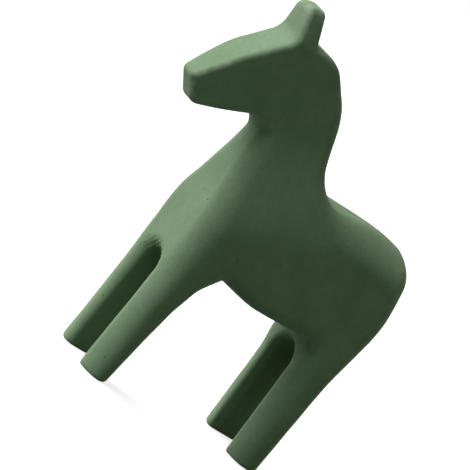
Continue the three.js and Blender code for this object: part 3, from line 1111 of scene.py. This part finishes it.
@dataclass(frozen=True)
class BareWood:
    """Planed bare wood with its grain along one axis, for glued faces and dowels."""

    name: str
    light: Triple
    dark: Triple
    grain: Grain
    roughness: float = 0.6
    relief_strength: float = 0.4
    relief_depth: float = 0.05

    def material(self) -> bpy.types.Material:
        """Builds the wood's nodes.

        Returns:
            The material.
        """
        bench = NodeBench(self.name)
        noise = bench.noise(self.grain)
        share = bench.spread(noise, (self.grain.low, self.grain.high))
        bench.feed(bench.shader["Roughness"], self.roughness)
        bench.feed(bench.shader["Base Color"], bench.blend(share, self.dark, self.light))
        bench.bump(noise, self.relief_strength, self.relief_depth)
        return bench.material


@dataclass
class Block:
    """The three boards, cut from the carved skin at their seams, with bores for the dowels.

    Lengths are in millimetres, but the weld is in metres.
    """

    skin: CarvedSkin
    paint: MattPaint = MattPaint()
    wood: BareWood = BareWood(
        name="bare_lime_wood",
        light=(0.72, 0.55, 0.36),
        dark=(0.6, 0.43, 0.26),
        grain=Grain(400.0, 5.0, 0.35, 0.65, (0.05, 1.0, 1.0)),
    )
    bore_clearance: float = 0.2
    bore_end_room: float = 1.0
    bore_sides: int = 48
    skin_depth: float = 1.0
    seam_play: float = 1e-3
    weld: float = 1e-7

    def cut(self, plank: Plank) -> bmesh.types.BMesh:
        """Cuts one board out of the skin.

        Args:
            plank: which board.

        Returns:
            The board as a closed mesh in metres, without bores.
        """
        made = bmesh.new()
        verts = [made.verts.new(p) for p in self.skin.points * MM]
        for quad in self.skin.quads:
            made.faces.new([verts[i] for i in quad])
        for height, outward in ((plank.low, -1.0), (plank.high, 1.0)):
            if abs(height) == OUTSIDE:
                continue
            found = bmesh.ops.bisect_plane(
                made,
                geom=made.verts[:] + made.edges[:] + made.faces[:],
                dist=self.weld,
                plane_co=(0.0, height * MM, 0.0),
                plane_no=(0.0, outward, 0.0),
                clear_outer=True,
            )
            rim = [e for e in found["geom_cut"] if isinstance(e, bmesh.types.BMEdge)]
            bmesh.ops.edgeloop_fill(made, edges=rim)
        bmesh.ops.triangulate(made, faces=[f for f in made.faces if len(f.verts) > 4])
        bmesh.ops.recalc_face_normals(made, faces=made.faces[:])
        return made

    def bores(self) -> list[bpy.types.Object]:
        """Makes a cutter for each dowel's bore.

        Returns:
            The cutters.
        """
        cutters = []
        for dowel in Dowel:
            low, high = (Vector(corner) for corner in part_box(dowel.value))
            radius = (high.x - low.x) / 2 + self.bore_clearance * MM
            made = bmesh.new()
            bmesh.ops.create_cone(
                made,
                cap_ends=True,
                segments=self.bore_sides,
                radius1=radius,
                radius2=radius,
                depth=high.y - low.y + 2 * self.bore_end_room * MM,
                matrix=Matrix.Translation((low + high) / 2) @ Matrix.Rotation(math.pi / 2, 4, "X"),
            )
            cutters.append(self.placed(made, f"{dowel.value}_bore"))
        return cutters

    @staticmethod
    def placed(made: bmesh.types.BMesh, name: str) -> bpy.types.Object:
        """Puts a finished mesh into the scene.

        Args:
            made: the mesh, which is used up.
            name: name of the object.

        Returns:
            The object.
        """
        mesh = bpy.data.meshes.new(name)
        made.to_mesh(mesh)
        made.free()
        placed = bpy.data.objects.new(name, mesh)
        bpy.context.scene.collection.objects.link(placed)
        return placed

    def bare_faces(self, mesh: bpy.types.Mesh, points: np.ndarray) -> np.ndarray:
        """Finds the faces on the seams and in the bores.

        Args:
            mesh: a board's mesh.
            points: its vertices in millimetres.

        Returns:
            One mark for each face.
        """
        on_skin = self.skin.form.value(points) > -self.skin_depth
        bare = np.zeros(len(mesh.polygons), bool)
        for face in mesh.polygons:
            corners = list(face.vertices)
            across = points[corners, 1]
            on_seam = np.ptp(across) < self.seam_play and abs(abs(across[0]) - SEAM) < self.seam_play
            bare[face.index] = on_seam or not on_skin[corners].all()
        return bare

    def shade(self, mesh: bpy.types.Mesh, points: np.ndarray, bare: np.ndarray) -> None:
        """Shades the skin as one smooth surface, and the bare faces flat.

        Args:
            mesh: a board's mesh.
            points: its vertices in millimetres.
            bare: which faces are bare.
        """
        slope = self.skin.form.slope(points)
        smooth = slope / np.maximum(np.linalg.norm(slope, axis=1), TINY)[:, None]
        normals = np.empty((len(mesh.loops), 3))
        for face in mesh.polygons:
            for loop in face.loop_indices:
                corner = mesh.loops[loop].vertex_index
                normals[loop] = face.normal if bare[face.index] else smooth[corner]
        mesh.polygons.foreach_set("use_smooth", np.ones(len(mesh.polygons), bool))
        mesh.normals_split_custom_set(normals)

    def dress(self, board: bpy.types.Object, paint: bpy.types.Material, wood: bpy.types.Material) -> None:
        """Paints the skin, leaves the glued faces bare and notes for each point how rubbed it is and how
        much shade is painted on it.

        Args:
            board: the board.
            paint: finish of the skin.
            wood: finish of the seams and bores.
        """
        mesh = board.data
        mesh.materials.clear()
        mesh.materials.append(paint)
        mesh.materials.append(wood)
        points = np.empty(3 * len(mesh.vertices))
        mesh.vertices.foreach_get("co", points)
        points = points.reshape(-1, 3) / MM
        bare = self.bare_faces(mesh, points)
        mesh.polygons.foreach_set("material_index", bare.astype(np.int32))
        self.shade(mesh, points, bare)
        form = self.skin.form
        # Stores the rubbed edges and the shade painted into the gaps as marks on the points
        for kind, shares in ((WearAndShade.RUBBED, form.rubbed(points)), (WearAndShade.PAINTED_GAP_SHADE, form.painted_gap_shade(points))):
            marks = mesh.attributes.new(kind.value, "FLOAT", "POINT")
            marks.data.foreach_set("value", shares.astype(np.float32))
        mesh.update()

    def board(self, plank: Plank, cutters: list[bpy.types.Object]) -> bpy.types.Object:
        """Makes one board with its bores.

        Args:
            plank: which board.
            cutters: the bores' cutters.

        Returns:
            The board, undressed.
        """
        board = self.placed(self.cut(plank), f"{plank.node}_carved")
        for cutter in cutters:
            bore = board.modifiers.new(cutter.name, "BOOLEAN")
            bore.operation = "DIFFERENCE"
            bore.solver = "EXACT"
            bore.object = cutter
        ready = board.evaluated_get(bpy.context.evaluated_depsgraph_get())
        bored = bpy.data.meshes.new_from_object(ready)
        board.modifiers.clear()
        board.data = bored
        return board

    def build(self) -> list[bpy.types.Object]:
        """Makes the three boards in place of their faceted solids.

        Returns:
            The boards.
        """
        paint = self.paint.material()
        wood = self.wood.material()
        cutters = self.bores()
        boards = []
        for plank in Plank:
            board = self.board(plank, cutters)
            self.dress(board, paint, wood)
            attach(board, "root")
            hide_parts(plank.node)
            boards.append(board)
        for cutter in cutters:
            bpy.data.objects.remove(cutter)
        return boards


@dataclass
class Dowels:
    """The four hidden dowels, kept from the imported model."""

    wood: BareWood = BareWood(
        name="beech",
        light=(0.66, 0.45, 0.27),
        dark=(0.52, 0.33, 0.18),
        grain=Grain(400.0, 5.0, 0.35, 0.65, (1.0, 0.05, 1.0)),
    )

    def build(self) -> list[bpy.types.Object]:
        """Gives each dowel its finish.

        Returns:
            The dowels.
        """
        material = self.wood.material()
        dowels = [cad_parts[dowel.value] for dowel in Dowel]
        for dowel in dowels:
            dowel.data.materials.clear()
            dowel.data.materials.append(material)
        return dowels


def background_rays(tree: bpy.types.NodeTree) -> Socket:
    """Marks the rays that show the background.

    Args:
        tree: the nodes of the floor or the sky.

    Returns:
        1 for rays from the camera, in gloss and through glass, and 0 for the rest.
    """
    path = tree.nodes.new("ShaderNodeLightPath")
    shown = path.outputs["Is Camera Ray"]
    for name in ("Is Glossy Ray", "Is Transmission Ray"):
        either = tree.nodes.new("ShaderNodeMath")
        either.operation = "MAXIMUM"
        tree.links.new(shown, either.inputs[0])
        tree.links.new(path.outputs[name], either.inputs[1])
        shown = either.outputs["Value"]
    return shown


@dataclass(frozen=True)
class SoftLight:
    """A wide lamp so far away that its light is even, like a large softbox.

    The softness is how wide it looks from the horse, in degrees.
    """

    name: str
    comes_from: Triple
    strength: float
    softness: float
    colour: Triple

    def hang(self) -> None:
        """Adds the lamp to the scene."""
        data = bpy.data.lights.new(self.name, "SUN")
        data.energy = self.strength
        data.angle = math.radians(self.softness)
        data.color = self.colour
        lamp = bpy.data.objects.new(self.name, data)
        lamp.rotation_mode = "QUATERNION"
        lamp.rotation_quaternion = Vector(self.comes_from).to_track_quat("Z", "Y")
        bpy.context.scene.collection.objects.link(lamp)


@dataclass
class Studio:
    """The pale floor, the soft light and the camera, which aren't part of the horse.

    Lengths are in metres, except the lens and the sensor, which are in millimetres. Angles are in degrees.
    """

    azimuth: float = 34.09
    elevation: float = 8.63
    roll: float = 39.36
    distance: float = 1.411
    lens: float = 210.2
    sensor: float = 36.0
    clip: Span = (0.05, 50.0)
    target: Triple = (-0.0065, 0.0, 0.0973)
    floor_size: float = 12.0
    floor_colour: Triple = (0.62, 0.62, 0.62)
    floor_glow: float = 0.78
    floor_bounce: Triple = (0.1, 0.12, 0.11)
    sky_strength: float = 0.01
    lamps: tuple[SoftLight, ...] = (
        SoftLight("key", (-0.74, 0.56, 0.38), 5.25, 95.0, (1.0, 0.93, 1.0)),
        SoftLight("fill", (-0.05, -0.94, 0.34), 0.3, 80.0, (0.84, 1.0, 0.82)),
        SoftLight("rear", (0.94, -0.05, 0.34), 0.3, 70.0, (1.0, 0.76, 0.62)),
    )

    def camera(self) -> None:
        """Places the camera as the photograph was taken, tilted to one side."""
        turn, rise = math.radians(self.azimuth), math.radians(self.elevation)
        back = Vector((-math.sin(turn) * math.cos(rise), -math.cos(turn) * math.cos(rise), math.sin(rise)))
        data = bpy.data.cameras.new("camera")
        data.sensor_width = self.sensor
        data.lens = self.lens
        data.clip_start, data.clip_end = self.clip
        made = bpy.data.objects.new("camera", data)
        level = back.to_track_quat("Z", "Y").to_matrix()
        tilt = Matrix.Rotation(math.radians(self.roll), 3, "Z")
        stand = Matrix.Translation(Vector(self.target) + back * self.distance)
        made.matrix_world = stand @ (level @ tilt).to_4x4()
        bpy.context.scene.collection.objects.link(made)
        bpy.context.scene.camera = made

    def floor_material(self) -> bpy.types.Material:
        """Makes the floor's finish, which shows white to the camera and throws little light back.

        Returns:
            The material.
        """
        material = bpy.data.materials.new("pale_floor")
        material.use_nodes = True
        nodes, links = material.node_tree.nodes, material.node_tree.links
        nodes.remove(nodes["Principled BSDF"])
        seen = nodes.new("ShaderNodeBsdfDiffuse")
        seen.inputs["Color"].default_value = (*self.floor_colour, 1.0)
        glow = nodes.new("ShaderNodeEmission")
        glow.inputs["Strength"].default_value = self.floor_glow
        both = nodes.new("ShaderNodeAddShader")
        lit = nodes.new("ShaderNodeBsdfDiffuse")
        lit.inputs["Color"].default_value = (*self.floor_bounce, 1.0)
        choose = nodes.new("ShaderNodeMixShader")
        links.new(seen.outputs[0], both.inputs[0])
        links.new(glow.outputs[0], both.inputs[1])
        links.new(background_rays(material.node_tree), choose.inputs[0])
        links.new(lit.outputs[0], choose.inputs[1])
        links.new(both.outputs[0], choose.inputs[2])
        links.new(choose.outputs[0], nodes["Material Output"].inputs["Surface"])
        return material

    def floor(self) -> None:
        """Lays a pale floor that keeps the horse's shadow."""
        made = bmesh.new()
        bmesh.ops.create_grid(made, x_segments=1, y_segments=1, size=self.floor_size / 2)
        mesh = bpy.data.meshes.new("floor")
        made.to_mesh(mesh)
        made.free()
        mesh.materials.append(self.floor_material())
        floor = bpy.data.objects.new("floor", mesh)
        bpy.context.scene.collection.objects.link(floor)

    def light(self) -> None:
        """Hangs the lamps and fills with an even sky, which the camera sees as white."""
        for lamp in self.lamps:
            lamp.hang()
        world = bpy.data.worlds.new("sky")
        world.use_nodes = True
        nodes, links = world.node_tree.nodes, world.node_tree.links
        level = nodes.new("ShaderNodeMapRange")
        level.inputs["To Min"].default_value = self.sky_strength
        level.inputs["To Max"].default_value = 1.0
        links.new(background_rays(world.node_tree), level.inputs["Value"])
        nodes["Background"].inputs["Color"].default_value = (1.0, 1.0, 1.0, 1.0)
        links.new(level.outputs["Result"], nodes["Background"].inputs["Strength"])
        bpy.context.scene.world = world

    def build(self) -> None:
        """Sets up the camera, floor and light."""
        self.camera()
        self.floor()
        self.light()
        bpy.context.scene.view_settings.view_transform = "Standard"


def main() -> None:
    """Builds the horse and its studio in order and reports each piece."""
    Studio().build()
    log.info("studio: camera, floor and light")
    skin = CarvedSkin(CarvedForm())
    log.info("skin: %d points", len(skin.points))
    for piece in Block(skin).build() + Dowels().build():
        log.info("%s: %d faces", piece.name, len(piece.data.polygons))


if __name__ == "__main__":
    main()
